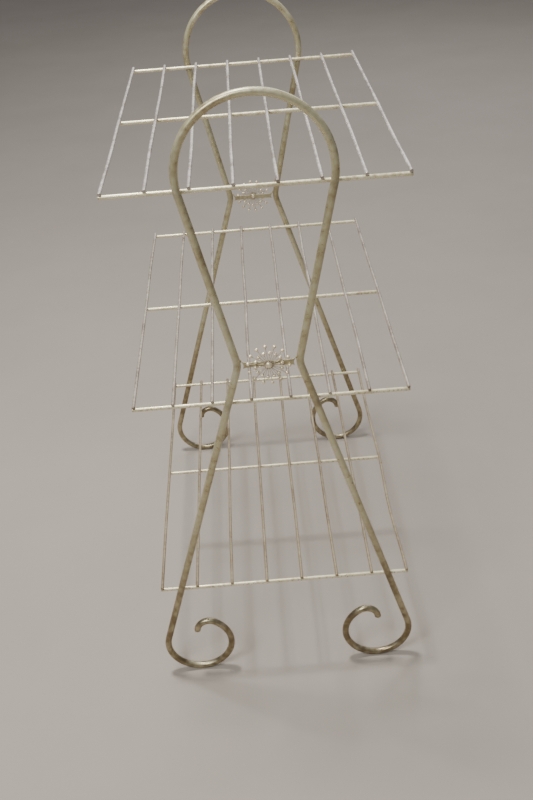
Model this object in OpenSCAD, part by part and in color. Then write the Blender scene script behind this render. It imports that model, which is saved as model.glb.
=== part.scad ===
// Three-tier wire magazine rack: two bent-rod end frames carry three welded wire shelves,
// and a riveted starburst ornament sits on a strap across the waist of each frame.
// Millimetres. +Z is up, the shelves run along Y, and the front frame is at -Y.
// The origin is on the floor, in the middle of the rack.

/* [Shelves] */
// Width of a shelf between the centres of its outer wires
shelf_w = 345; // [320:5:380]
// Length of a shelf between the centres of its end bars
shelf_l = 555; // [480:5:640]
// Number of lengthwise wires in a shelf
wire_count = 8; // [6:1:8]
// Diameter of a lengthwise wire
wire_d = 4.3; // [3.6:0.1:5]
// Diameter of a cross bar
bar_d = 5.2; // [4.4:0.1:6.4]
// Distance that a wire runs past the centre of an end bar
wire_overhang = 3.5; // [2.5:0.1:5]
// Depth that crossing wires and rods sink into each other at a weld
weld_bite = 0.4; // [0.1:0.1:0.8]

/* [Tier heights] */
// Height of the bottom shelf's bars above the floor
bottom_z = 152; // [130:1:190]
// Height of the middle shelf's bars above the floor
middle_z = 454; // [430:1:470]
// Height of the top shelf's bars above the floor
top_z = 733; // [700:1:745]

/* [End frames] */
// Diameter of the bent rod
rod_d = 9.5; // [8:0.5:10]
// Centreline radius of the loop at the top
loop_r = 88.5; // [84:0.5:92]
// Height of the loop's centre above the floor
loop_z = 749.5; // [740:0.5:770]
// Half the width at the waist, where the straight legs would cross the bend
waist_x = 37.5; // [34:0.5:42]
// Height of the waist above the floor
waist_z = 510; // [500:1:520]
// Centreline radius of the bend at the waist
waist_bend_r = 32; // [20:1:45]
// Distance of a foot scroll's centre from the middle of the frame
foot_x = 129.5; // [120:0.5:140]
// Centreline radius of a foot scroll
foot_r = 46; // [42:0.5:50]
// Centreline radius of the tight curl that ends a foot scroll
curl_r = 17; // [14:0.5:20]
// Angle above the level at which a scroll tightens into its curl
curl_start = 57; // [45:1:65]
// Angle that the tight curl turns through
curl_sweep = 122; // [90:1:135]

/* [Ornaments] */
// Height of the strap across the waist
strap_h = 6.5; // [5:0.5:8]
// Thickness of the strap
strap_t = 1.5; // [1:0.1:2]
// Number of rays in each star
ray_count = 14; // [10:1:16]
// Angle that both stars are turned on their rivet, clockwise as seen from the front
star_turn = 6; // [0:1:12]
// Distance of the long star's beads from its centre
long_ray_r = 25.3; // [24:0.1:27]
// Distance of the short star's beads from its centre
short_ray_r = 16.6; // [15:0.1:18]
// Width of a ray
ray_w = 0.9; // [0.7:0.1:1.4]
// Thickness of a star's disc and rays
star_t = 1; // [0.8:0.1:1.2]
// Diameter of a bead
bead_d = 4.7; // [4:0.1:5]
// Radius of the disc in the middle of a star
hub_r = 4.2; // [3.8:0.1:6]
// Radius of the rivet's domed head
dome_r = 4.3; // [3.5:0.1:5]
// Height of the rivet's domed head
dome_h = 2.6; // [2:0.1:3]
// Radius of the rivet's shank
rivet_r = 1.5; // [1.2:0.1:1.8]

/* [Hidden] */
TIERS = ["top", "middle", "bottom"];
TIER_Z = [top_z, middle_z, bottom_z];
BARS = ["front", "middle", "back"];
BAR_Y = [-shelf_l / 2, 0, shelf_l / 2];
ENDS = ["front", "back"];
ORNAMENT = ["strap", "long_star", "short_star", "rivet"];
$fn = 48;

// Shelf positions
wire_pitch = shelf_w / (wire_count - 1);
wire_rise = (bar_d + wire_d) / 2 - weld_bite;
bar_l = shelf_w + wire_d;
wire_l = shelf_l + 2 * wire_overhang;

// The frame's plane, where its rod rests against the outer sides of the end bars
frame_y = shelf_l / 2 + (bar_d + rod_d) / 2 - weld_bite;

// The frame's outline in its own plane, as [across, up]
loop_c = [0, loop_z];
waist_p = [waist_x, waist_z];
foot_c = [foot_x, foot_r + rod_d / 2];

// The point where a line from p touches the outer side of the circle round c
function touch_angle(p, c, r) = atan2(p.y - c.y, p.x - c.x) + side(p, c) * acos(r / norm(p - c));
function side(p, c) = p.y > c.y ? -1 : 1;
function on_circle(c, r, a) = c + r * [cos(a), sin(a)];
function unit(v) = v / norm(v);
function heading(v) = atan2(v.y, v.x);

loop_a = touch_angle(waist_p, loop_c, loop_r);
foot_a = touch_angle(waist_p, foot_c, foot_r);
loop_end = on_circle(loop_c, loop_r, loop_a);
foot_start = on_circle(foot_c, foot_r, foot_a);
up_dir = unit(loop_end - waist_p);
down_dir = unit(foot_start - waist_p);

// The waist bend rounds the corner between the two straight stretches of a leg
waist_open = acos(up_dir * down_dir);
waist_cut = waist_bend_r / tan(waist_open / 2);
waist_c = waist_p + unit(up_dir + down_dir) * waist_bend_r / sin(waist_open / 2);
bend_top = waist_p + up_dir * waist_cut;
bend_foot = waist_p + down_dir * waist_cut;

// The scroll turns inwards under the foot and over, then its curl drops the tip inside
curl_a = 180 - curl_start;
scroll_sweep = 360 - curl_a + foot_a;
curl_c = on_circle(foot_c, foot_r - curl_r, curl_a);
curl_p = on_circle(foot_c, foot_r, curl_a);

// Straight and bent stretches stop just short of each other, inside a ball a hair wider than the rod
joint_trim = 0.2;
joint_swell = 0.08;

// The strap ends in a fishtail that the waist's rods hold by its upper tips
waist_gap = waist_c.x - waist_bend_r - rod_d / 2;
flare_x = waist_gap - 10;
upper_tip = [waist_gap + 0.9, 6];
lower_tip = [waist_gap - 2.2, -4.6];
tail_notch = 2.2;

// Layers of the ornament, measured outwards from the frame's plane
strap_face = strap_t / 2;
long_star_y = strap_face + (bead_d - star_t) / 2;
short_star_y = long_star_y + star_t;
rivet_seat_y = short_star_y + star_t;
collar_r = 3.4;
hole_r = rivet_r + 0.05;
tail_r = 2.4;
tail_h = 0.9;
tail_dimple_r = 0.9;

// Finishes
BRASS_PAINT = "#8f8760";
PALE_BRASS = "#b5a894";
BEAD_CREAM = "#e8dcc2";

// A rod along an arc of radius r round c, from angle a through sweep, in the XY plane
module rod_arc(c, r, a, sweep) {
    trim = asin(joint_trim / r);
    translate(c) rotate([0, 0, a + trim])
        rotate_extrude(angle = sweep - 2 * trim) translate([r, 0]) circle(d = rod_d);
}

// A straight rod from p to q in the XY plane
module rod_line(p, q) {
    start = p + unit(q - p) * joint_trim;
    translate(start) rotate([0, 0, heading(q - p)]) rotate([0, 90, 0])
        cylinder(d = rod_d, h = norm(q - p) - 2 * joint_trim);
}

// Closes the rod where a straight stretch runs on into a bend
module rod_joint(p) {
    translate(p) sphere(d = rod_d + joint_swell);
}

module leg() {
    rod_line(loop_end, bend_top);
    rod_arc(waist_c, waist_bend_r, 90 + heading(up_dir), 180 - waist_open);
    rod_line(bend_foot, foot_start);
    rod_arc(foot_c, foot_r, curl_a, scroll_sweep);
    rod_arc(curl_c, curl_r, curl_a - curl_sweep, curl_sweep);
    for (p = [loop_end, bend_top, bend_foot, foot_start, curl_p]) rod_joint(p);
}

// One continuous bent rod, drawn flat with its height along Y
module end_frame() {
    color(BRASS_PAINT) union() {
        rod_arc(loop_c, loop_r, loop_a, 180 - 2 * loop_a);
        leg();
        mirror([1, 0, 0]) leg();
    }
}

module cross_bar(z, y) {
    color(PALE_BRASS) translate([-bar_l / 2, y, z]) rotate([0, 90, 0]) cylinder(d = bar_d, h = bar_l);
}

module shelf_wire(z, i) {
    x = i * wire_pitch - shelf_w / 2;
    color(PALE_BRASS) translate([x, wire_l / 2, z + wire_rise]) rotate([90, 0, 0])
        cylinder(d = wire_d, h = wire_l);
}

// Centre of the circle through p and q whose arc sags to the left of the way from p to q
function sag_centre(p, q, sag) =
    let (half = norm(q - p) / 2, r = sag_radius(half, sag), d = unit(q - p))
    (p + q) / 2 - (r - sag) * [-d.y, d.x];
function sag_radius(half, sag) = (half * half + sag * sag) / (2 * sag);

// The rounded bite that flares an edge of the strap from [flare_x, 0] out to a tip
module flare_bite(run, rise) {
    r = (run * run + rise * rise) / (2 * rise);
    translate([flare_x, strap_h / 2 + r]) circle(r = r, $fn = 96);
}

module strap_half() {
    corner = strap_h / 2;
    half = norm(upper_tip - lower_tip) / 2;
    difference() {
        polygon([[0, -corner], [flare_x, -corner], lower_tip, upper_tip, [flare_x, corner], [0, corner]]);
        flare_bite(upper_tip.x - flare_x, upper_tip.y - corner);
        mirror([0, 1]) flare_bite(lower_tip.x - flare_x, -lower_tip.y - corner);
        translate(sag_centre(lower_tip, upper_tip, tail_notch)) circle(r = sag_radius(half, tail_notch));
    }
}

module strap() {
    color(BRASS_PAINT) translate([0, 0, -strap_t / 2]) linear_extrude(strap_t) difference() {
        union() {
            strap_half();
            mirror([1, 0]) strap_half();
        }
        circle(r = hole_r);
    }
}

// A disc with rays that end in beads, and a collar that keeps its beads clear of what is behind
module star(ray_r, first, collar_h) {
    color(BEAD_CREAM) difference() {
        union() {
            cylinder(r = hub_r, h = star_t);
            if (collar_h > 0) translate([0, 0, -collar_h]) cylinder(r = collar_r, h = collar_h);
            for (i = [0:ray_count - 1]) rotate([0, 0, first + i * 360 / ray_count]) {
                translate([hub_r / 2, -ray_w / 2, 0]) cube([ray_r - hub_r / 2, ray_w, star_t]);
                translate([ray_r, 0, star_t / 2]) sphere(d = bead_d);
            }
        }
        translate([0, 0, -bead_d]) cylinder(r = hole_r, h = 2 * bead_d);
    }
}

// The long star's collar rests on the strap
module long_star(turn) {
    star(long_ray_r, turn, long_star_y - strap_face);
}

// The short star lies on the long one, with its rays in the gaps
module short_star(turn) {
    star(short_ray_r, turn + 180 / ray_count, 0);
}

// Domed head, shank through the whole stack, and the tail closed over on the inner side
module rivet() {
    cap_r = (dome_r * dome_r + dome_h * dome_h) / (2 * dome_h);
    shank_l = rivet_seat_y + strap_face;
    color(BEAD_CREAM) rotate_extrude() difference() {
        union() {
            intersection() {
                translate([0, dome_h - cap_r]) circle(r = cap_r);
                square([dome_r, dome_h]);
            }
            translate([0, -shank_l - tail_h / 2]) square([rivet_r, shank_l + tail_h]);
            translate([0, -shank_l - tail_h]) square([tail_r, tail_h]);
        }
        translate([0, -shank_l - tail_h]) square([tail_dimple_r, tail_h * 2]);
    }
}

// Stands a flat drawing up in an end frame's plane, out from it and with its middle at height z
module at_end(end, out, z) {
    rotate([0, 0, end == "front" ? 0 : 180]) translate([0, -frame_y - out, z]) rotate([90, 0, 0]) children();
}

for (e = ENDS) {
    turn = e == "front" ? -star_turn : star_turn;
    at_end(e, 0, 0) end_frame();
    at_end(e, 0, waist_z) strap();
    at_end(e, long_star_y, waist_z) long_star(turn);
    at_end(e, short_star_y, waist_z) short_star(turn);
    at_end(e, rivet_seat_y, waist_z) rivet();
}
for (t = [0:2], b = [0:2])
    cross_bar(TIER_Z[t], BAR_Y[b]);
for (t = [0:2], i = [1:wire_count])
    shelf_wire(TIER_Z[t], i - 1);
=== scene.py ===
# Three-tier wire magazine rack: two bent-rod end frames, three welded wire shelves,
# and a riveted starburst on a strap across the waist of each frame.
# Metres throughout. +Z is up, the shelves run along Y, and the front frame is at -Y.

import math
import random

import bmesh
import bpy
from mathutils import Matrix, Vector, noise


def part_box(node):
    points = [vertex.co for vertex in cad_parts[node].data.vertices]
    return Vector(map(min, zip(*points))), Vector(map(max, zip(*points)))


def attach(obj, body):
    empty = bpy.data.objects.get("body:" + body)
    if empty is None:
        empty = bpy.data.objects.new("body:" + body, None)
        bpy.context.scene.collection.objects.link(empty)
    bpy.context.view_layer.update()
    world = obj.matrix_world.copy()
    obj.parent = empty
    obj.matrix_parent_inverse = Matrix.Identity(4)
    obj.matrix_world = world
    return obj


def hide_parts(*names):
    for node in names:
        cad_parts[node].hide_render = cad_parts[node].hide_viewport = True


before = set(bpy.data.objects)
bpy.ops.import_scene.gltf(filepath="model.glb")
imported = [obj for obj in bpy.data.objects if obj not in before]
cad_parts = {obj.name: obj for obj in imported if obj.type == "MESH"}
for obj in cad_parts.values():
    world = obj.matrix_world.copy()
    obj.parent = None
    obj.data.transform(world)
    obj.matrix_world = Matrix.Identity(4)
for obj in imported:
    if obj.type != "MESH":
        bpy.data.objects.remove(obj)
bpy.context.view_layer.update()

MM = 0.001
ROOT = "root"

TIERS = ("top", "middle", "bottom")
BARS = ("front", "middle", "back")
ENDS = ("front", "back")
WIRE_COUNT = 8
CRISP = math.radians(48)


# ---------------------------------------------------------------- measures from the fixed model


def middle_of(node):
    low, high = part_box(node)
    return (low + high) / 2


def span_of(node):
    low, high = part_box(node)
    return high - low


WIRE_R = span_of("top_shelf_wire_1").x / 2
WIRE_HALF_L = span_of("top_shelf_wire_1").y / 2
BAR_R = span_of("top_shelf_front_bar").z / 2
BAR_HALF_L = span_of("top_shelf_front_bar").x / 2
WAIST_GAP = 33.81 * MM
BAR_Z = {t: middle_of(f"{t}_shelf_front_bar").z for t in TIERS}
BAR_Y = {b: middle_of(f"top_shelf_{b}_bar").y for b in BARS}
WIRE_Z = {t: middle_of(f"{t}_shelf_wire_1").z for t in TIERS}
WIRE_X = [middle_of(f"top_shelf_wire_{i + 1}").x for i in range(WIRE_COUNT)]
FRAME_Y = abs(middle_of("front_end_frame").y)
WAIST_Z = middle_of("front_rivet").z

# ---------------------------------------------------------------- the frame's outline

ROD_R = 4.75 * MM
LOOP_R = 88.5 * MM
LOOP_Z = 749.5 * MM
WAIST_X = 37.5 * MM
WAIST_CROSS_Z = 510 * MM
WAIST_BEND_R = 32 * MM
FOOT_X = 129.5 * MM
FOOT_R = 46 * MM
CURL_R = 17 * MM
CURL_START = math.radians(123)
CURL_SWEEP = math.radians(122)


def on_circle(centre, radius, angle):
    return centre + radius * Vector((math.cos(angle), math.sin(angle)))


def heading(v):
    return math.atan2(v.y, v.x)


def touch_angle(p, centre, radius):
    """Angle on the circle where a line from p touches its outer side."""
    side = -1 if p.y > centre.y else 1
    return heading(p - centre) + side * math.acos(radius / (p - centre).length)


class Outline:
    """One half of the frame's centreline, from the crown of the loop down to the cut tip."""

    def __init__(self):
        loop = Vector((0, LOOP_Z))
        foot = Vector((FOOT_X, FOOT_R + ROD_R))
        waist = Vector((WAIST_X, WAIST_CROSS_Z))
        loop_a = touch_angle(waist, loop, LOOP_R)
        foot_a = touch_angle(waist, foot, FOOT_R)
        loop_end = on_circle(loop, LOOP_R, loop_a)
        foot_start = on_circle(foot, FOOT_R, foot_a)
        up = (loop_end - waist).normalized()
        down = (foot_start - waist).normalized()
        half_open = math.acos(up.dot(down)) / 2
        cut = WAIST_BEND_R / math.tan(half_open)
        bend = waist + (up + down).normalized() * WAIST_BEND_R / math.sin(half_open)
        bend_a = heading(waist + up * cut - bend) % math.tau
        curl = on_circle(foot, FOOT_R - CURL_R, CURL_START)
        self.stretches = []
        self.length = 0.0
        self.add_arc(loop, LOOP_R, math.pi / 2, loop_a - math.pi / 2)
        self.add_line(loop_end, waist + up * cut)
        self.add_arc(bend, WAIST_BEND_R, bend_a, math.pi - 2 * half_open)
        self.add_line(waist + down * cut, foot_start)
        self.add_arc(foot, FOOT_R, foot_a, CURL_START - math.tau - foot_a)
        self.add_arc(curl, CURL_R, CURL_START, -CURL_SWEEP)

    def add_line(self, start, end):
        self.stretches.append(("line", self.length, start, end))
        self.length += (end - start).length

    def add_arc(self, centre, radius, start, sweep):
        self.stretches.append(("arc", self.length, centre, radius, start, sweep))
        self.length += radius * abs(sweep)

    def at(self, distance):
        """Point and direction at a distance from the crown, as [across, up]."""
        for stretch in reversed(self.stretches):
            if distance >= stretch[1] - 1e-9:
                break
        run = distance - stretch[1]
        if stretch[0] == "line":
            start, end = stretch[2:]
            along = (end - start).normalized()
            return start + along * run, along
        centre, radius, start, sweep = stretch[2:]
        turn = math.copysign(1, sweep)
        angle = start + turn * run / radius
        along = Vector((-math.sin(angle), math.cos(angle))) * turn
        return on_circle(centre, radius, angle), along

    def spacing(self, distance):
        """Longest step that keeps the bends round."""
        for stretch in reversed(self.stretches):
            if distance >= stretch[1] - 1e-9:
                break
        return 5 * MM if stretch[0] == "line" else min(3.2 * MM, stretch[3] * 0.075)

    def crossing(self, height):
        """Distance from the crown at which the leg first passes a height."""
        low, high = 0.0, self.length * 0.7
        for _ in range(50):
            mid = (low + high) / 2
            low, high = (mid, high) if self.at(mid)[0].y > height else (low, mid)
        return low


outline = Outline()
ROD_CROSSINGS = {t: outline.at(outline.crossing(BAR_Z[t])) for t in TIERS}


# ---------------------------------------------------------------- mesh helpers


def grain(point, scale, seed=0.0):
    """Smooth unevenness between -1 and 1 at a place on the rack."""
    return noise.noise(point * scale + Vector((seed, seed * 1.7, -seed)))


def near(distance, reach):
    """1 at a place, fading to 0 over a reach."""
    return math.exp(-((distance / reach) ** 2))


def cut_steps(length, edge, step_at):
    """Distances along a rod, close together where its cut ends are rounded."""
    round_over = [edge * f for f in (0.0, 0.08, 0.3, 0.62, 1.0)]
    steps = list(round_over)
    while steps[-1] < length - edge - 1e-6:
        left = length - edge - steps[-1]
        step = step_at(steps[-1])
        steps.append(length - edge if left < 1.4 * step else steps[-1] + step)
    return steps + [length - r for r in reversed(round_over[:-1])]


def cut_radius(distance, length, radius, edge):
    """Radius of a rod whose cut ends are rounded over by edge."""
    left = min(distance, length - distance)
    if left >= edge:
        return radius
    return radius - edge + math.sqrt(max(edge**2 - (edge - left) ** 2, 0))


def loft(bm, rings, marks=None):
    """Skins closed rings into one closed shell. marks gives each point's rub and joint."""
    rub, joint = mark_layers(bm)
    loops = []
    for ring in rings:
        loop = []
        for p in ring:
            v = bm.verts.new(p)
            if marks:
                v[rub], v[joint] = marks(p)
            loop.append(v)
        loops.append(loop)
    for a, b in zip(loops, loops[1:]):
        for i, v in enumerate(a):
            k = (i + 1) % len(a)
            bm.faces.new((v, a[k], b[k], b[i]))
    for loop, flip in ((loops[0], True), (loops[-1], False)):
        centre = sum((v.co for v in loop), Vector()) / len(loop)
        hub = bm.verts.new(centre)
        hub[rub], hub[joint] = loop[0][rub], loop[0][joint]
        for i, v in enumerate(loop):
            k = loop[(i + 1) % len(loop)]
            bm.faces.new((k, v, hub) if flip else (v, k, hub))
    return loops


def mark_layers(bm):
    layers = bm.verts.layers.float
    return layers.get("rub") or layers.new("rub"), layers.get("joint") or layers.new("joint")


def ring(centre, side, up, radius_at, count):
    """A closed ring of points round a centre."""
    points = []
    for i in range(count):
        a = math.tau * i / count
        points.append(centre + (side * math.cos(a) + up * math.sin(a)) * radius_at(a))
    return points


def rod_ring(centre, side, up, radius, full_radius, inset, waves, sides, shift=Vector()):
    """A ring round a slightly uneven rod. Each wave is a depth, a scale and a seed."""

    def uneven(a):
        spot = centre + (side * math.cos(a) + up * math.sin(a)) * full_radius
        rough = sum(depth * grain(spot, scale, seed) for depth, scale, seed in waves)
        return radius * (1 + rough) - inset

    return ring(centre + shift, side, up, uneven, sides)


def make_piece(name, bm, material, stands_for=()):
    """Turns a mesh into a piece of the rack that rides on its one body."""
    bmesh.ops.recalc_face_normals(bm, faces=bm.faces)
    mesh = bpy.data.meshes.new(name)
    bm.to_mesh(mesh)
    bm.free()
    mesh.shade_smooth()
    mesh.set_sharp_from_angle(angle=CRISP)
    mesh.materials.append(material)
    piece = bpy.data.objects.new(name, mesh)
    bpy.context.scene.collection.objects.link(piece)
    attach(piece, ROOT)
    if stands_for:
        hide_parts(*stands_for)
    return piece


# ---------------------------------------------------------------- shader node building


class Board:
    """Adds nodes to a tree and joins them. An input is a number, a colour or a node's socket."""

    def __init__(self, tree):
        self.tree = tree

    def add(self, kind, settings=None, **inputs):
        node = self.tree.nodes.new(kind)
        for key, value in (settings or {}).items():
            setattr(node, key, value)
        for key, value in inputs.items():
            self.put(node.inputs[key.replace("_", " ")], value)
        return node

    def put(self, socket, value):
        if isinstance(value, bpy.types.NodeSocket):
            self.tree.links.new(value, socket)
        else:
            socket.default_value = value

    def sum(self, kind, a, b=0.0, clamp=False):
        node = self.add("ShaderNodeMath", {"operation": kind, "use_clamp": clamp})
        self.put(node.inputs[0], a)
        self.put(node.inputs[1], b)
        return node.outputs[0]

    def noise(self, scale, vector, detail=3.0, rough=0.5, twist=0.0):
        node = self.add(
            "ShaderNodeTexNoise",
            Vector=vector,
            Scale=scale,
            Detail=detail,
            Roughness=rough,
            Distortion=twist,
        )
        return node.outputs["Fac"]

    def fade(self, value, low, high, to_low=0.0, to_high=1.0):
        node = self.add(
            "ShaderNodeMapRange",
            {"interpolation_type": "SMOOTHSTEP"},
            Value=value,
            From_Min=low,
            From_Max=high,
            To_Min=to_low,
            To_Max=to_high,
        )
        return node.outputs[0]

    def mix(self, factor, a, b):
        """Blends two colours."""
        node = self.add("ShaderNodeMix", {"data_type": "RGBA"})
        self.put(node.inputs[0], factor)
        self.put(node.inputs[6], a)
        self.put(node.inputs[7], b)
        return node.outputs[2]

    def blend(self, factor, a, b):
        """Blends two values."""
        node = self.add("ShaderNodeMix", {"data_type": "FLOAT"})
        self.put(node.inputs[0], factor)
        self.put(node.inputs[2], a)
        self.put(node.inputs[3], b)
        return node.outputs[0]


def rgb(red, green, blue):
    """A colour picked on a 0 to 255 paint card, as linear light."""
    channels = []
    for c in (red, green, blue):
        c = c / 255
        channels.append(c / 12.92 if c <= 0.04045 else ((c + 0.055) / 1.055) ** 2.4)
    return (*channels, 1.0)


KINDS = {"colour": "NodeSocketColor", "value": "NodeSocketFloat", "vector": "NodeSocketVector"}


def start_group(name, inputs, outputs):
    """A node group with named sockets. Returns its board, its inputs and its output node."""
    tree = bpy.data.node_groups.new(name, "ShaderNodeTree")
    for key, (kind, value) in inputs.items():
        socket = tree.interface.new_socket(name=key, in_out="INPUT", socket_type=KINDS[kind])
        if value is not None:
            socket.default_value = value
    for key, kind in outputs.items():
        tree.interface.new_socket(name=key, in_out="OUTPUT", socket_type=KINDS[kind])
    given = tree.nodes.new("NodeGroupInput").outputs
    result = tree.nodes.new("NodeGroupOutput")
    return Board(tree), given, result


def make_paint_group():
    """Cloudy paint: large soft clouds, small mottling and fine speckle between three tones."""
    board, given, result = start_group(
        "Mottled Paint",
        {
            "Position": ("vector", None),
            "Main": ("colour", rgb(150, 140, 100)),
            "Pale": ("colour", rgb(190, 180, 140)),
            "Deep": ("colour", rgb(100, 90, 60)),
            "Cloud Size": ("value", 22.0),
            "Mottle Size": ("value", 260.0),
            "Contrast": ("value", 0.6),
        },
        {"Colour": "colour", "Cloud": "value", "Mottle": "value"},
    )
    cloud = board.noise(given["Cloud Size"], given["Position"], 2.0, 0.45)
    mottle = board.noise(given["Mottle Size"], given["Position"], 2.5, 0.5)
    both = board.sum(
        "ADD", board.sum("MULTIPLY", mottle, 0.45), board.sum("MULTIPLY", cloud, 0.55)
    )
    pale = board.sum("MULTIPLY", board.fade(both, 0.46, 0.7), given["Contrast"])
    deep = board.sum("MULTIPLY", board.fade(both, 0.52, 0.3), given["Contrast"])
    colour = board.mix(pale, given["Main"], given["Pale"])
    colour = board.mix(deep, colour, given["Deep"])
    board.put(result.inputs["Colour"], colour)
    board.put(result.inputs["Cloud"], cloud)
    board.put(result.inputs["Mottle"], mottle)
    return board.tree


def make_chips_group():
    """Ragged chips in the paint, thicker where the surface is rubbed, with a rim round each."""
    board, given, result = start_group(
        "Chipped Paint",
        {
            "Position": ("vector", None),
            "Rub": ("value", 0.0),
            "Amount": ("value", 0.3),
            "Chip Size": ("value", 140.0),
        },
        {"Chip": "value", "Rim": "value", "Stain": "value"},
    )
    ragged = board.noise(given["Chip Size"], given["Position"], 4.0, 0.55, 0.3)
    patch_size = board.sum("MULTIPLY", given["Chip Size"], 0.22)
    patch = board.noise(patch_size, given["Position"], 2.0, 0.5)
    lift = board.sum("MULTIPLY", given["Rub"], 0.05)
    wear = board.sum("ADD", board.sum("MULTIPLY", patch, 0.5), board.sum("MULTIPLY", ragged, 0.5))
    wear = board.sum("ADD", wear, lift)
    wear = board.sum("ADD", wear, board.sum("MULTIPLY", given["Amount"], 0.08))
    board.put(result.inputs["Chip"], board.fade(wear, 0.675, 0.69))
    board.put(
        result.inputs["Rim"],
        board.sum("SUBTRACT", board.fade(wear, 0.655, 0.672), board.fade(wear, 0.675, 0.69), True),
    )
    board.put(result.inputs["Stain"], board.fade(wear, 0.52, 0.68))
    return board.tree


def make_rust_group():
    """Brown rust with darker pits and orange bloom."""
    board, given, result = start_group(
        "Rust Tone",
        {"Position": ("vector", None), "Pit Size": ("value", 700.0)},
        {"Colour": "colour", "Height": "value"},
    )
    pits = board.noise(given["Pit Size"], given["Position"], 5.0, 0.7)
    bloom = board.noise(board.sum("MULTIPLY", given["Pit Size"], 0.3), given["Position"], 3.0, 0.6)
    colour = board.mix(board.fade(bloom, 0.35, 0.65), rgb(96, 74, 50), rgb(128, 98, 64))
    colour = board.mix(board.fade(pits, 0.6, 0.4), colour, rgb(60, 46, 34))
    board.put(result.inputs["Colour"], colour)
    board.put(result.inputs["Height"], pits)
    return board.tree


def make_spray_group():
    """Fine orange peel, slow runs in the coat and stray specks, as a height."""
    board, given, result = start_group(
        "Spray Grain",
        {
            "Position": ("vector", None),
            "Peel Size": ("value", 900.0),
            "Run Size": ("value", 120.0),
            "Speck Size": ("value", 420.0),
        },
        {"Height": "value"},
    )
    peel = board.noise(given["Peel Size"], given["Position"], 2.0, 0.5)
    runs = board.noise(given["Run Size"], given["Position"], 2.0, 0.45, 0.4)
    cells = board.add("ShaderNodeTexVoronoi", Vector=given["Position"], Scale=given["Speck Size"])
    rare = board.noise(board.sum("MULTIPLY", given["Speck Size"], 0.3), given["Position"], 2.0, 0.5)
    speck = board.sum(
        "MULTIPLY", board.fade(cells.outputs["Distance"], 0.26, 0.1), board.fade(rare, 0.56, 0.66)
    )
    height = board.sum("MULTIPLY", peel, 0.3)
    height = board.sum("ADD", height, board.sum("MULTIPLY", runs, 0.9))
    height = board.sum("ADD", height, board.sum("MULTIPLY", speck, 0.35))
    board.put(result.inputs["Height"], height)
    return board.tree


def make_dust_group():
    """House dust that lies on what faces up, thicker beside the welds."""
    board, given, result = start_group(
        "Settled Dust",
        {
            "Position": ("vector", None),
            "Facing Up": ("value", 0.0),
            "Joint": ("value", 0.0),
            "Amount": ("value", 0.3),
        },
        {"Dust": "value"},
    )
    drift = board.noise(60.0, given["Position"], 4.0, 0.6)
    fluff = board.noise(1300.0, given["Position"], 3.0, 0.6)
    lying = board.fade(given["Facing Up"], 0.25, 0.95)
    patchy = board.sum(
        "MULTIPLY", board.fade(drift, 0.3, 0.7), board.fade(fluff, 0.25, 0.75, 0.5, 1.0)
    )
    caught = board.sum("MULTIPLY", given["Joint"], 0.35)
    dust = board.sum("MULTIPLY", board.sum("ADD", lying, caught), patchy)
    board.put(result.inputs["Dust"], board.sum("MULTIPLY", dust, given["Amount"], True))
    return board.tree


def make_grime_group():
    """Dark weld dirt and streaks, partly painted shade where parts meet; painted shade underneath.
    """
    board, given, result = start_group(
        "Weld Dirt And Painted Shade",
        {
            "Position": ("vector", None),
            "Joint": ("value", 0.0),
            "Underside": ("value", 0.0),
            "Amount": ("value", 0.5),
        },
        {"Dirt And Shade": "value"},
    )
    smear = board.noise(330.0, given["Position"], 4.0, 0.6, 0.5)
    # dirt round the welds, partly painted shade where the parts meet
    gathered = board.sum("MULTIPLY", given["Joint"], board.fade(smear, 0.3, 0.62, 0.35, 1.0))
    # painted shade: darker on whatever faces down
    below = board.sum(
        "MULTIPLY", board.fade(given["Underside"], 0.1, 1.0), board.fade(smear, 0.4, 0.7)
    )
    grime = board.sum("ADD", gathered, board.sum("MULTIPLY", below, 0.3))
    board.put(result.inputs["Dirt And Shade"], board.sum("MULTIPLY", grime, given["Amount"], True))
    return board.tree


GROUPS = {
    "paint": make_paint_group(),
    "chips": make_chips_group(),
    "rust": make_rust_group(),
    "spray": make_spray_group(),
    "dust": make_dust_group(),
    "grime": make_grime_group(),
}


def place_group(board, key, **inputs):
    node = board.add("ShaderNodeGroup", {"node_tree": GROUPS[key]}, **inputs)
    return node.outputs


STAIN_TONE = rgb(122, 98, 66)
TARNISH_DARK = rgb(126, 110, 80)
TARNISH_PALE = rgb(182, 172, 140)
# tone for weld dirt and for painted shade
DIRT_AND_SHADE_TONE = rgb(98, 80, 58)
DUST_TONE = rgb(176, 168, 150)


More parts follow.
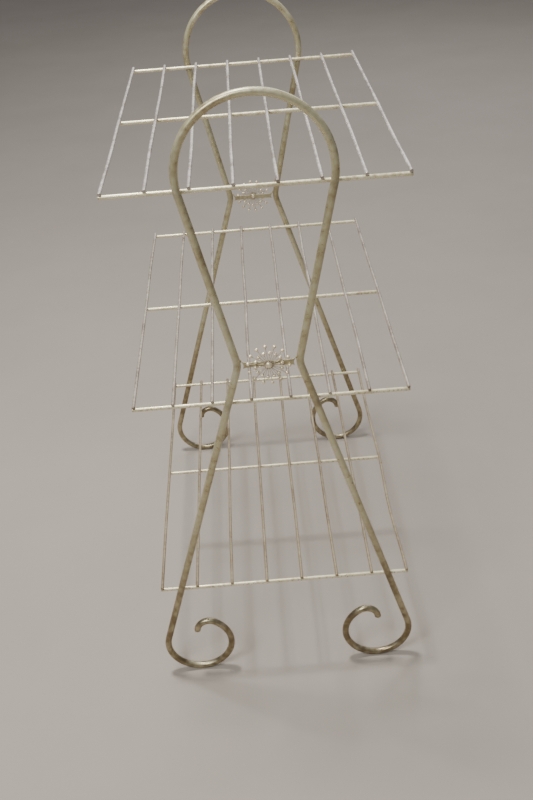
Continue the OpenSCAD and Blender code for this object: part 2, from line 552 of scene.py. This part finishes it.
def painted_metal(name, main, pale, deep, **look):
    """Brass-coloured spray paint on steel, aged, with its own tones and wear."""
    chosen = {
        "metal": 0.72,
        "gloss": 0.36,
        "contrast": 0.6,
        "clouds": 22.0,
        "mottle": 260.0,
        "chips": 0.3,
        "chip_size": 140.0,
        "rims": 0.5,
        "dust": 0.25,
        "grime": 0.6,
        "bump": 0.25,
        "coat": 0.15,
        "bare": 0.5,
    }
    chosen.update(look)
    material = bpy.data.materials.new(name)
    material.use_nodes = True
    material.node_tree.nodes.clear()
    board = Board(material.node_tree)
    position = board.add("ShaderNodeTexCoord").outputs["Object"]
    facing = board.add("ShaderNodeNewGeometry").outputs["Normal"]
    upward = board.add("ShaderNodeSeparateXYZ", Vector=facing).outputs["Z"]
    rub = board.add("ShaderNodeAttribute", {"attribute_name": "rub"}).outputs["Fac"]
    joint = board.add("ShaderNodeAttribute", {"attribute_name": "joint"}).outputs["Fac"]
    paint = place_group(
        board,
        "paint",
        Position=position,
        Main=main,
        Pale=pale,
        Deep=deep,
        Cloud_Size=chosen["clouds"],
        Mottle_Size=chosen["mottle"],
        Contrast=chosen["contrast"],
    )
    chips = place_group(
        board,
        "chips",
        Position=position,
        Rub=rub,
        Amount=chosen["chips"],
        Chip_Size=chosen["chip_size"],
    )
    rust = place_group(board, "rust", Position=position)
    spray = place_group(board, "spray", Position=position)
    dust = place_group(
        board, "dust", Position=position, Facing_Up=upward, Joint=joint, Amount=chosen["dust"]
    )
    # weld dirt, with painted shade where parts meet and on what faces down
    grime = place_group(
        board,
        "grime",
        Position=position,
        Joint=joint,
        Underside=board.sum("MULTIPLY", upward, -1.0),
        Amount=chosen["grime"],
    )
    stain = board.sum("MULTIPLY", chips["Stain"], 0.5)
    colour = board.mix(stain, paint["Colour"], STAIN_TONE)
    worn = board.sum("ADD", rub, board.sum("MULTIPLY", paint["Cloud"], 0.5))
    worn = board.sum("MULTIPLY", board.fade(worn, 0.55, 1.05), chosen["bare"])
    streaks = board.sum("ADD", paint["Cloud"], paint["Mottle"])
    tarnish = board.mix(board.fade(streaks, 0.7, 1.3), TARNISH_DARK, TARNISH_PALE)
    colour = board.mix(worn, colour, tarnish)
    # darkens the colour with weld dirt and painted shade
    colour = board.mix(grime["Dirt And Shade"], colour, DIRT_AND_SHADE_TONE)
    colour = board.mix(board.sum("MULTIPLY", chips["Rim"], chosen["rims"]), colour, pale)
    colour = board.mix(chips["Chip"], colour, rust["Colour"])
    colour = board.mix(dust["Dust"], colour, DUST_TONE)
    flat = board.sum("ADD", board.sum("MULTIPLY", grime["Dirt And Shade"], 0.22), chosen["gloss"])
    flat = board.sum("ADD", flat, board.fade(paint["Mottle"], 0.3, 0.7, -0.06, 0.08))
    flat = board.blend(worn, flat, 0.3)
    flat = board.blend(chips["Chip"], flat, 0.82)
    flat = board.blend(dust["Dust"], flat, 0.9)
    metal = board.blend(worn, chosen["metal"], 0.95)
    metal = board.blend(chips["Chip"], metal, 0.15)
    metal = board.blend(dust["Dust"], metal, 0.0)
    height = board.sum("ADD", spray["Height"], board.sum("MULTIPLY", chips["Chip"], -0.8))
    height = board.sum("ADD", height, board.sum("MULTIPLY", rust["Height"], chips["Chip"]))
    bump = board.add("ShaderNodeBump", Strength=chosen["bump"], Distance=0.4 * MM, Height=height)
    shader = board.add("ShaderNodeBsdfPrincipled")
    board.put(shader.inputs["Base Color"], colour)
    board.put(shader.inputs["Roughness"], flat)
    board.put(shader.inputs["Metallic"], metal)
    board.put(shader.inputs["Normal"], bump.outputs["Normal"])
    shader.inputs["IOR"].default_value = 1.5
    shader.inputs["Coat Roughness"].default_value = 0.3
    shader.inputs["Coat Weight"].default_value = chosen["coat"]
    output = board.add("ShaderNodeOutputMaterial")
    board.put(output.inputs["Surface"], shader.outputs["BSDF"])
    return material


FRAME_PAINT = painted_metal(
    "Frame Brass Paint",
    rgb(190, 182, 146),
    rgb(210, 206, 178),
    rgb(146, 126, 90),
    metal=0.58,
    gloss=0.33,
    contrast=0.7,
    clouds=16.0,
    mottle=120.0,
    chips=-0.5,
    rims=0.0,
    grime=0.4,
    coat=0.4,
    bare=1.0,
)
# A paler copy of the frame's paint: painted highlight where the lights catch the cross bars.
BAR_PAINT_WITH_HIGHLIGHT = painted_metal(
    "Bar Paint Painted Highlight",
    rgb(232, 222, 186),
    rgb(246, 240, 212),
    rgb(190, 172, 130),
    metal=0.55,
    gloss=0.3,
    chips=0.0,
    grime=0.25,
    bump=0.18,
)
# The wires share one paint, and each tier's copy has light painted in.
WIRE_LOOK = {
    "metal": 0.55,
    "gloss": 0.36,
    "mottle": 190.0,
    "contrast": 0.9,
    "chips": 0.0,
    "grime": 0.25,
}
# Top: painted reflection of the ceiling; middle: dimmer reflection; bottom: painted shelf shade.
WIRE_PAINTS_WITH_PAINTED_LIGHT = {
    "top": painted_metal(
        "Wire Paint Painted Ceiling Reflection", rgb(196, 188, 182), rgb(224, 218, 212), rgb(142, 128, 120), **WIRE_LOOK
    ),
    "middle": painted_metal(
        "Wire Paint Painted Dim Reflection", rgb(176, 164, 152), rgb(206, 196, 184), rgb(130, 116, 102), **WIRE_LOOK
    ),
    "bottom": painted_metal(
        "Wire Paint Painted Shelf Shade", rgb(164, 146, 118), rgb(192, 176, 146), rgb(120, 102, 78), **WIRE_LOOK
    ),
}
WELD_PAINT = painted_metal(
    "Weld Brown Paint",
    rgb(176, 162, 126),
    rgb(204, 192, 156),
    rgb(124, 104, 74),
    gloss=0.42,
    chips=0.1,
    grime=0.25,
)
STAR_PAINT = painted_metal(
    "Star Cream Gold",
    rgb(244, 228, 192),
    rgb(254, 246, 222),
    rgb(204, 178, 136),
    metal=0.5,
    gloss=0.24,
    chips=0.0,
    dust=0.1,
    grime=0.75,
    coat=0.5,
)
STRAP_PAINT = painted_metal(
    "Strap Brass Paint",
    rgb(178, 168, 134),
    rgb(202, 194, 162),
    rgb(134, 118, 86),
    metal=0.5,
    chips=0.05,
)


# ---------------------------------------------------------------- end frames

ROD_SIDES = 36
TIP_EDGE = 0.5 * MM
BARE_TOP = 400 * MM
BARE_FADE = 300 * MM


def half_point(distance):
    """Point and direction on the whole centreline, 0 at the crown and negative to the left."""
    point, along = outline.at(abs(distance))
    if distance < 0:
        return Vector((-point.x, 0, point.y)), Vector((along.x, 0, -along.y))
    return Vector((point.x, 0, point.y)), Vector((along.x, 0, along.y))


def frame_marks(point):
    """Where the frame's paint is rubbed, and how close its welds are."""
    crown = near(LOOP_Z + LOOP_R - point.z, 35 * MM)
    floor_scuff = near(point.z, 6 * MM)
    leg = max(0.0, min(1.0, (BARE_TOP - point.z) / BARE_FADE)) ** 0.8
    joint = 0.0
    for crossing, _ in ROD_CROSSINGS.values():
        gap = Vector((abs(point.x) - crossing.x, point.z - crossing.y)).length
        joint = max(joint, near(gap, 9 * MM))
    waist = near((Vector((abs(point.x), point.z)) - Vector((WAIST_X, WAIST_Z))).length, 12 * MM)
    rub = min(0.3 * crown + 0.4 * floor_scuff + 0.85 * leg + 0.35 * waist, 1.0)
    return rub, max(joint, 0.6 * waist)


def build_end_frame(end, facing):
    bm = bmesh.new()
    total = 2 * outline.length
    steps = cut_steps(total, TIP_EDGE, lambda s: outline.spacing(abs(s - outline.length)))
    level = Vector((0, FRAME_Y * facing, 0))
    side = Vector((0, 1, 0))
    rings = []
    for s in steps:
        point, along = half_point(s - outline.length)
        radius = cut_radius(s, total, ROD_R, TIP_EDGE)
        up = along.cross(side)
        waves = ((0.006, 90, facing), (0.004, 320, facing))
        rings.append(
            rod_ring(point, side, up, radius, ROD_R, 0.03 * MM, waves, ROD_SIDES, shift=level)
        )
    loft(bm, rings, frame_marks)
    return make_piece(f"{end}_frame_rod", bm, FRAME_PAINT, [f"{end}_end_frame"])


# ---------------------------------------------------------------- shelves

WIRE_SIDES = 20
BENT_WIRE = ("bottom", WIRE_COUNT - 1)
BAR_SIDES = 28
WIRE_EDGE = 0.6 * MM
BAR_EDGE = 0.5 * MM
SKIN_INSET = 0.012 * MM
WELD_REACH = 5 * MM
TIP_REACH = 4 * MM


def spans(y):
    """0 at each bar and 1 halfway between two bars, level where a wire is welded down."""
    gap = BAR_Y["back"]
    return math.sin(math.pi * min(abs(y) / gap, 1)) ** 2


def build_wire(tier, number):
    x = WIRE_X[number]
    draw = random.Random(TIERS.index(tier) * 40 + number)
    bow = {half: (draw.uniform(-1, 1) * MM, draw.uniform(-0.9, 0.3) * MM) for half in (-1, 1)}
    if (tier, number) == BENT_WIRE:
        bow = {-1: (-3.2 * MM, -0.6 * MM), 1: (-1.2 * MM, 0)}
    bm = bmesh.new()
    total = 2 * WIRE_HALF_L
    side, up = Vector((1, 0, 0)), Vector((0, 0, 1))
    rings = []
    for s in cut_steps(total, WIRE_EDGE, lambda s: 6 * MM):
        y = s - WIRE_HALF_L
        across, drop = bow[1 if y > 0 else -1]
        bend = spans(y)
        centre = Vector((x + across * bend, y, WIRE_Z[tier] + drop * bend))
        radius = cut_radius(s, total, WIRE_R, WIRE_EDGE)
        waves = ((0.012, 150, number),)
        rings.append(rod_ring(centre, side, up, radius, WIRE_R, SKIN_INSET, waves, WIRE_SIDES))

    def marks(point):
        gap = min(abs(point.y - y) for y in BAR_Y.values())
        tip = near(WIRE_HALF_L - abs(point.y), TIP_REACH)
        return 0.5 * tip, near(gap, WELD_REACH)

    loft(bm, rings, marks)
    name = f"{tier}_shelf_wire_{number + 1}"
    return make_piece(f"{name}_drawn", bm, WIRE_PAINTS_WITH_PAINTED_LIGHT[tier], [name])


def build_bar(tier, place):
    bm = bmesh.new()
    total = 2 * BAR_HALF_L
    level = Vector((0, BAR_Y[place], BAR_Z[tier]))
    side, up = Vector((0, 1, 0)), Vector((0, 0, 1))
    rod_x = ROD_CROSSINGS[tier][0].x
    rings = []
    for s in cut_steps(total, BAR_EDGE, lambda s: 4 * MM):
        centre = Vector((s - BAR_HALF_L, 0, 0)) + level
        radius = cut_radius(s, total, BAR_R, BAR_EDGE)
        waves = ((0.01, 120, 5),)
        rings.append(rod_ring(centre, side, up, radius, BAR_R, SKIN_INSET, waves, BAR_SIDES))

    def marks(point):
        gap = min(abs(point.x - x) for x in WIRE_X)
        joint = near(gap, WELD_REACH) * (0.3 + 0.7 * max(0, (point.z - BAR_Z[tier]) / BAR_R))
        if place != "middle":
            joint = max(joint, near(abs(point.x) - rod_x, 6 * MM))
        tip = near(BAR_HALF_L - abs(point.x), TIP_REACH)
        return 0.7 * tip, joint

    loft(bm, rings, marks)
    name = f"{tier}_shelf_{place}_bar"
    return make_piece(f"{name}_rod", bm, BAR_PAINT_WITH_HIGHLIGHT, [name])


# ---------------------------------------------------------------- welds

WELD_STEPS = 28
WELD_BITE = 0.2 * MM
WIRE_WELD = 1.0 * MM
FRAME_WELD = 1.5 * MM
DAB_REACH = Vector((0.9, 1.5, 1.7)) * MM


def crown_drop(offset, radius):
    """How far a round rod falls away from its highest line, at an offset to its side."""
    offset = min(abs(offset), radius * 0.98)
    return radius - math.sqrt(radius**2 - offset**2)


def add_weld(bm, spot, out, lower, upper, height, seed):
    """A fused collar between two crossing rods.

    lower and upper are each rod's (direction, radius), and out points from one to the other.
    """
    first = lower[0].normalized()
    second = out.cross(first).normalized()
    rings = {k: [] for k in range(7)}
    for i in range(WELD_STEPS):
        a = math.tau * i / WELD_STEPS
        w = first * math.cos(a) + second * math.sin(a)
        below = (w - lower[0] * w.dot(lower[0])).length
        above = (w - upper[0] * w.dot(upper[0])).length
        reach = height * (1 + 0.22 * grain(spot * 1000 + w * 3, 0.5, seed))
        low, high = 0.0, min(lower[1] / max(below, 1e-6), upper[1] / max(above, 1e-6), 4 * height)
        for _ in range(30):
            mid = (low + high) / 2
            open_by = crown_drop(mid * below, lower[1]) + crown_drop(mid * above, upper[1])
            low, high = (mid, high) if open_by < reach else (low, mid)
        base = low
        for k, f in enumerate((0.0, 0.0, 0.25, 0.5, 0.75, 1.0, 1.0)):
            waist = 1 - 0.2 * math.sin(math.pi * f)
            r = base * waist
            if k in (0, 6):
                r = base * 0.5
            bottom = -crown_drop(r * below, lower[1]) - 0.12 * MM
            top = crown_drop(r * above, upper[1]) + 0.12 * MM
            rings[k].append(spot + w * r + out * (bottom + (top - bottom) * f))
    loft(bm, [rings[k] for k in range(7)], lambda p: (0.1, 0.75))


def add_dab(bm, spot, reach, seed):
    """A small lump of weld, uneven all round."""
    rings = []
    for i in range(1, 10):
        tilt = math.pi * i / 10
        loop = []
        for k in range(18):
            a = math.tau * k / 18
            flat = math.sin(tilt)
            way = Vector((math.cos(tilt), flat * math.cos(a), flat * math.sin(a)))
            lump = 1 + 0.18 * grain(way * 2 + spot * 900, 0.8, seed)
            loop.append(spot + way * reach * lump)
        rings.append(loop)
    loft(bm, rings, lambda p: (0.2, 0.8))


def build_shelf_welds(tier, place):
    """The welds under a shelf's wires, where they lie on one bar."""
    bm = bmesh.new()
    for i, x in enumerate(WIRE_X):
        spot = Vector((x, BAR_Y[place], BAR_Z[tier] + BAR_R - WELD_BITE))
        lower = (Vector((1, 0, 0)), BAR_R)
        upper = (Vector((0, 1, 0)), WIRE_R)
        add_weld(bm, spot, Vector((0, 0, 1)), lower, upper, WIRE_WELD, i)
    return make_piece(f"{tier}_shelf_{place}_welds", bm, WELD_PAINT)


def build_frame_welds(end, facing):
    """The welds that hold the shelves' end bars to one frame's legs."""
    bm = bmesh.new()
    for tier in TIERS:
        point, along = ROD_CROSSINGS[tier]
        for hand in (-1, 1):
            spot = Vector((point.x * hand, facing * (BAR_Y["back"] + BAR_R - WELD_BITE), point.y))
            lower = (Vector((1, 0, 0)), BAR_R)
            upper = (Vector((along.x * hand, 0, along.y)).normalized(), ROD_R)
            add_weld(bm, spot, Vector((0, facing, 0)), lower, upper, FRAME_WELD, hand)
            if tier == "middle":
                horn_x = (WAIST_GAP + 0.1 * MM) * hand
                horn = Vector((horn_x, facing * FRAME_Y, WAIST_Z + 5.9 * MM))
                add_dab(bm, horn, DAB_REACH, hand)
    return make_piece(f"{end}_frame_welds", bm, WELD_PAINT)


# ---------------------------------------------------------------- ornaments

STRAP_H = 6.5 * MM
STRAP_T = 1.5 * MM
RAY_COUNT = 14
LONG_RAY_R = 25.3 * MM
SHORT_RAY_R = 16.6 * MM
RAY_W = 0.9 * MM
STAR_T = 1.0 * MM
BEAD_R = 2.35 * MM
HUB_R = 4.2 * MM
STAR_TURN = math.radians(6)
COLLAR_R = 3.4 * MM
HOLE_R = 1.55 * MM
RIVET_R = 1.5 * MM
DOME_R = 4.3 * MM
DOME_H = 2.6 * MM
TAIL_R = 2.4 * MM
TAIL_H = 0.9 * MM
DIMPLE_R = 0.9 * MM
STRAP_FACE = STRAP_T / 2
LONG_STAR_OUT = STRAP_FACE + BEAD_R - STAR_T / 2
SHORT_STAR_OUT = LONG_STAR_OUT + STAR_T
RIVET_OUT = SHORT_STAR_OUT + STAR_T
UPPER_TIP = Vector((WAIST_GAP + 0.9 * MM, 6 * MM))
LOWER_TIP = Vector((WAIST_GAP - 2.2 * MM, -4.6 * MM))
FLARE_X = WAIST_GAP - 10 * MM
TAIL_NOTCH = 2.2 * MM


def stand_up(facing, out):
    """Places a flat drawing upright in a frame's plane, facing outwards."""
    turn = Matrix.Rotation(math.pi if facing > 0 else 0.0, 4, "Z")
    lift = Matrix.Translation((0, -FRAME_Y - out, WAIST_Z))
    return turn @ lift @ Matrix.Rotation(math.pi / 2, 4, "X")


def lathe(bm, profile, segments, marks=None):
    """Turns a profile of (radius, height) round the axis, from the axis back to the axis."""
    rings = []
    for radius, height in profile:
        rings.append(
            [
                Vector((radius * math.cos(a), radius * math.sin(a), height))
                for a in (math.tau * i / segments for i in range(segments))
            ]
        )
    loft(bm, rings, marks)


def lathe_ring(bm, profile, segments):
    """Turns a closed profile that stays clear of the axis, such as a disc with a hole."""
    _, joint = mark_layers(bm)
    loops = []
    for i in range(segments):
        a = math.tau * i / segments
        loops.append([bm.verts.new((r * math.cos(a), r * math.sin(a), h)) for r, h in profile])
    for i, loop in enumerate(loops):
        following = loops[(i + 1) % segments]
        for k in range(len(profile)):
            m = (k + 1) % len(profile)
            bm.faces.new((loop[k], following[k], following[m], loop[m]))
            loop[k][joint] = 0.5 * near(profile[k][0] - DOME_R, 1.2 * MM)


def add_ray(bm, angle, root, tip, seed):
    """One pressed ray that swells into its bead, as a single skin."""
    along = Vector((math.cos(angle), math.sin(angle), 0))
    across = Vector((-along.y, along.x, 0))
    up = Vector((0, 0, 1))
    neck = tip - BEAD_R * 0.93
    rings = []
    stations = [root + (neck - root) * i / 9 for i in range(10)]
    for i in range(1, 15):
        stations.append(tip - BEAD_R * math.cos(math.radians(22 + (178 - 22) * i / 14)))
    for s in stations:
        ball = math.sqrt(max(BEAD_R**2 - (s - tip) ** 2, 0))
        t = (s - root) / (neck - root)
        wide = RAY_W / 2 * (1.0 - 0.32 * math.sin(math.pi * min(t, 1)))
        wide += RAY_W * 0.35 * near(s - HUB_R, 1.0 * MM)
        thick = STAR_T / 2
        if s > neck:
            fillet = near(s - neck, 0.35 * MM)
            wide = max(ball, wide * fillet)
            thick = max(ball, thick * fillet)
        wide, thick = max(wide, 0.04 * MM), max(thick, 0.04 * MM)
        centre = along * s + up * STAR_T / 2
        loop = []
        for i in range(20):
            a = math.tau * i / 20
            c, q = math.cos(a), math.sin(a)
            square = 0.62 if s < neck else 1.0
            c = math.copysign(abs(c) ** square, c)
            q = math.copysign(abs(q) ** square, q)
            lump = 1 + 0.02 * grain(centre * 900 + Vector((c, q, seed)), 0.6, seed)
            loop.append(centre + across * wide * c * lump + up * thick * q * lump)
        rings.append(loop)

    def marks(point):
        out = point.xy.length
        return 0.15, 0.85 if out < neck else 0.85 * near(out - neck, 0.7 * MM)

    loft(bm, rings, marks)


def build_star(end, facing, kind, ray_r, first, out, collar_h):
    bm = bmesh.new()
    edge = 0.28 * MM
    disc = [
        (HOLE_R, 0),
        (HUB_R - edge, 0),
        (HUB_R - 0.3 * edge, 0.3 * edge),
        (HUB_R, edge),
        (HUB_R, STAR_T - edge),
        (HUB_R - 0.3 * edge, STAR_T - 0.3 * edge),
        (HUB_R - edge, STAR_T),
        (HOLE_R, STAR_T),
    ]
    if collar_h > 0:
        disc = [(HOLE_R, -collar_h), (COLLAR_R - edge, -collar_h), (COLLAR_R, edge - collar_h)] + [
            (COLLAR_R, -0.3 * MM),
            (COLLAR_R + 0.3 * MM, 0),
        ] + disc[1:]
    lathe_ring(bm, disc, 56)
    for i in range(RAY_COUNT):
        add_ray(bm, first + math.tau * i / RAY_COUNT, HUB_R * 0.55, ray_r, i)
    bmesh.ops.transform(bm, matrix=stand_up(facing, out), verts=bm.verts)
    name = f"{end}_{kind}_star"
    return make_piece(f"{name}_pressed", bm, STAR_PAINT, [name])


def build_rivet(end, facing):
    bm = bmesh.new()
    cap = (DOME_R**2 + DOME_H**2) / (2 * DOME_H)
    spread = math.asin(DOME_R / cap)
    shank = RIVET_OUT + STRAP_FACE
    dome = []
    for i in range(14):
        a = spread * i / 14
        dome.append((cap * math.sin(a), DOME_H - cap + cap * math.cos(a)))
    dome[0] = (0.05 * MM, DOME_H)
    profile = dome + [
        (DOME_R - 0.06 * MM, 0.18 * MM),
        (DOME_R, 0.1 * MM),
        (DOME_R - 0.1 * MM, 0.0),
        (RIVET_R + 0.2 * MM, 0.0),
        (RIVET_R, -0.1 * MM),
        (RIVET_R, -shank + 0.02 * MM),
        (TAIL_R - 0.12 * MM, -shank),
        (TAIL_R, -shank - 0.14 * MM),
        (TAIL_R - 0.1 * MM, -shank - TAIL_H * 0.62),
        (TAIL_R - 0.5 * MM, -shank - TAIL_H * 0.96),
        (DIMPLE_R + 0.35 * MM, -shank - TAIL_H),
        (DIMPLE_R + 0.1 * MM, -shank - TAIL_H * 0.94),
        (DIMPLE_R, -shank - TAIL_H * 0.7),
        (DIMPLE_R * 0.86, -shank - TAIL_H * 0.05),
        (0.05 * MM, -shank + TAIL_H * 0.15),
    ]
    lathe(bm, profile, 48, lambda p: (0.3 * near(p.z - DOME_H, 1 * MM), near(p.z, 0.5 * MM)))
    bmesh.ops.transform(bm, matrix=stand_up(facing, RIVET_OUT), verts=bm.verts)
    return make_piece(f"{end}_rivet_set", bm, STAR_PAINT, [f"{end}_rivet"])


def strap_outline():
    """One side of the strap's outline, from its top edge round its fishtail to its bottom edge."""
    corner = STRAP_H / 2
    edge_x = (RIVET_R * 3, FLARE_X * 0.5, FLARE_X)
    points = [Vector((x, corner)) for x in edge_x]

    def flare(tip_y, tip_x, hand):
        run, rise = tip_x - FLARE_X, abs(tip_y) - corner
        r = (run**2 + rise**2) / (2 * rise)
        sweep = math.asin(run / r)
        curve = []
        for i in range(1, 9):
            a = sweep * i / 8
            rise_here = corner + r * (1 - math.cos(a))
            curve.append(Vector((FLARE_X + r * math.sin(a), hand * rise_here)))
        return curve

    points += flare(UPPER_TIP.y, UPPER_TIP.x, 1)
    half = (UPPER_TIP - LOWER_TIP).length / 2
    r = (half**2 + TAIL_NOTCH**2) / (2 * TAIL_NOTCH)
    along = (UPPER_TIP - LOWER_TIP).normalized()
    inward = Vector((-along.y, along.x))
    centre = (UPPER_TIP + LOWER_TIP) / 2 - inward * (r - TAIL_NOTCH)
    start, end = heading(UPPER_TIP - centre), heading(LOWER_TIP - centre)
    if end < start:
        end += math.tau
    points += [on_circle(centre, r, start + (end - start) * i / 12) for i in range(1, 12)]
    points += list(reversed(flare(LOWER_TIP.y, LOWER_TIP.x, -1)))
    points += [Vector((x, -corner)) for x in reversed(edge_x)]
    return points


def build_strap(end, facing):
    bm = bmesh.new()
    rub, joint = mark_layers(bm)
    right = strap_outline()
    left = [Vector((-p.x, p.y)) for p in reversed(right)]
    face = bm.faces.new([bm.verts.new((p.x, p.y, -STRAP_FACE)) for p in right + left])
    made = bmesh.ops.extrude_face_region(bm, geom=[face])
    top = [g for g in made["geom"] if isinstance(g, bmesh.types.BMVert)]
    bmesh.ops.translate(bm, vec=(0, 0, STRAP_T), verts=top)
    bmesh.ops.recalc_face_normals(bm, faces=bm.faces)
    rims = [
        e
        for e in bm.edges
        if abs(e.verts[0].co.z - e.verts[1].co.z) < 1e-7 and len(e.link_faces) == 2
    ]
    bmesh.ops.bevel(bm, geom=rims, offset=0.22 * MM, segments=3, profile=0.6, affect="EDGES")
    bmesh.ops.triangulate(bm, faces=[f for f in bm.faces if len(f.verts) > 4])
    for v in bm.verts:
        v[rub] = 0.3 * near(abs(v.co.x) - WAIST_GAP, 3 * MM)
        v[joint] = max(near(v.co.xy.length, 6 * MM), near(abs(v.co.x) - WAIST_GAP, 1.5 * MM))
    bmesh.ops.transform(bm, matrix=stand_up(facing, 0), verts=bm.verts)
    return make_piece(f"{end}_strap_pressed", bm, STRAP_PAINT, [f"{end}_strap"])


# ---------------------------------------------------------------- the whole rack

for end, facing in zip(ENDS, (-1, 1)):
    build_end_frame(end, facing)
    build_frame_welds(end, facing)
    build_strap(end, facing)
    turn = STAR_TURN * facing
    build_star(end, facing, "long", LONG_RAY_R, turn, LONG_STAR_OUT, LONG_STAR_OUT - STRAP_FACE)
    build_star(end, facing, "short", SHORT_RAY_R, turn + math.pi / RAY_COUNT, SHORT_STAR_OUT, 0.0)
    build_rivet(end, facing)
for tier in TIERS:
    for place in BARS:
        build_bar(tier, place)
        build_shelf_welds(tier, place)
    for number in range(WIRE_COUNT):
        build_wire(tier, number)


# ---------------------------------------------------------------- floor, lights and camera


def build_floor():
    bm = bmesh.new()
    bmesh.ops.create_grid(bm, x_segments=8, y_segments=8, size=16)
    mesh = bpy.data.meshes.new("floor")
    bm.to_mesh(mesh)
    bm.free()
    floor = bpy.data.objects.new("floor", mesh)
    bpy.context.scene.collection.objects.link(floor)
    material = bpy.data.materials.new("Pale Floor")
    material.use_nodes = True
    material.node_tree.nodes.clear()
    board = Board(material.node_tree)
    position = board.add("ShaderNodeTexCoord").outputs["Object"]
    cloud = board.noise(3.0, position, 5.0, 0.6)
    colour = board.mix(cloud, rgb(160, 150, 141), rgb(172, 163, 154))
    shader = board.add("ShaderNodeBsdfPrincipled")
    board.put(shader.inputs["Base Color"], colour)
    shader.inputs["Roughness"].default_value = 0.75
    shader.inputs["Specular IOR Level"].default_value = 0.25
    output = board.add("ShaderNodeOutputMaterial")
    board.put(output.inputs["Surface"], shader.outputs["BSDF"])
    mesh.materials.append(material)


SOFT_LIGHTS = {
    "overhead": {
        "place": (-0.35, 0.15, 2.5),
        "target": (0, 0, 0.4),
        "size": (0.3, 0.3),
        "power": 54,
        "colour": (1.0, 0.98, 0.94),
    },
    "from_front": {
        "place": (-1.2, -1.9, 2.5),
        "target": (0, 0, 0.7),
        "size": (1.1, 0.9),
        "power": 60,
        "colour": (0.98, 1.0, 0.96),
    },
    "from_back": {
        "place": (0.9, 3.0, 2.4),
        "target": (0, 1.2, 0),
        "size": (2.4, 1.4),
        "power": 30,
        "colour": (0.95, 0.97, 1.0),
    },
}


def add_soft_light(name, place, target, size, power, colour):
    data = bpy.data.lights.new(name, "AREA")
    data.shape = "RECTANGLE"
    data.size, data.size_y = size
    data.energy = power
    data.color = colour
    light = bpy.data.objects.new(name, data)
    light.location = place
    light.rotation_euler = (Vector(target) - Vector(place)).to_track_quat("-Z", "Y").to_euler()
    bpy.context.scene.collection.objects.link(light)


def set_world():
    world = bpy.data.worlds.new("Soft Room")
    world.use_nodes = True
    sky = world.node_tree.nodes["Background"]
    sky.inputs["Color"].default_value = (0.86, 0.87, 0.9, 1)
    sky.inputs["Strength"].default_value = 0.3
    bpy.context.scene.world = world


CAMERA_PLACE = Vector((-0.0105, -1.3379, 1.1178))
CAMERA_YAW = math.radians(0.242)
CAMERA_TILT = math.radians(32.069)
CAMERA_ROLL = math.radians(4.382)
CAMERA_LENS = 44.96


def set_camera():
    ahead = Vector(
        (
            math.sin(CAMERA_YAW) * math.cos(CAMERA_TILT),
            math.cos(CAMERA_YAW) * math.cos(CAMERA_TILT),
            -math.sin(CAMERA_TILT),
        )
    )
    level = Vector((math.cos(CAMERA_YAW), -math.sin(CAMERA_YAW), 0))
    down = ahead.cross(level)
    right = level * math.cos(CAMERA_ROLL) + down * math.sin(CAMERA_ROLL)
    under = down * math.cos(CAMERA_ROLL) - level * math.sin(CAMERA_ROLL)
    data = bpy.data.cameras.new("camera")
    data.lens = CAMERA_LENS
    data.sensor_width = 36
    camera = bpy.data.objects.new("camera", data)
    turn = Matrix((right, -under, -ahead)).transposed()
    camera.matrix_world = Matrix.Translation(CAMERA_PLACE) @ turn.to_4x4()
    bpy.context.scene.collection.objects.link(camera)
    bpy.context.scene.camera = camera


build_floor()
for light_name, light in SOFT_LIGHTS.items():
    add_soft_light(light_name, **light)
set_world()
set_camera()
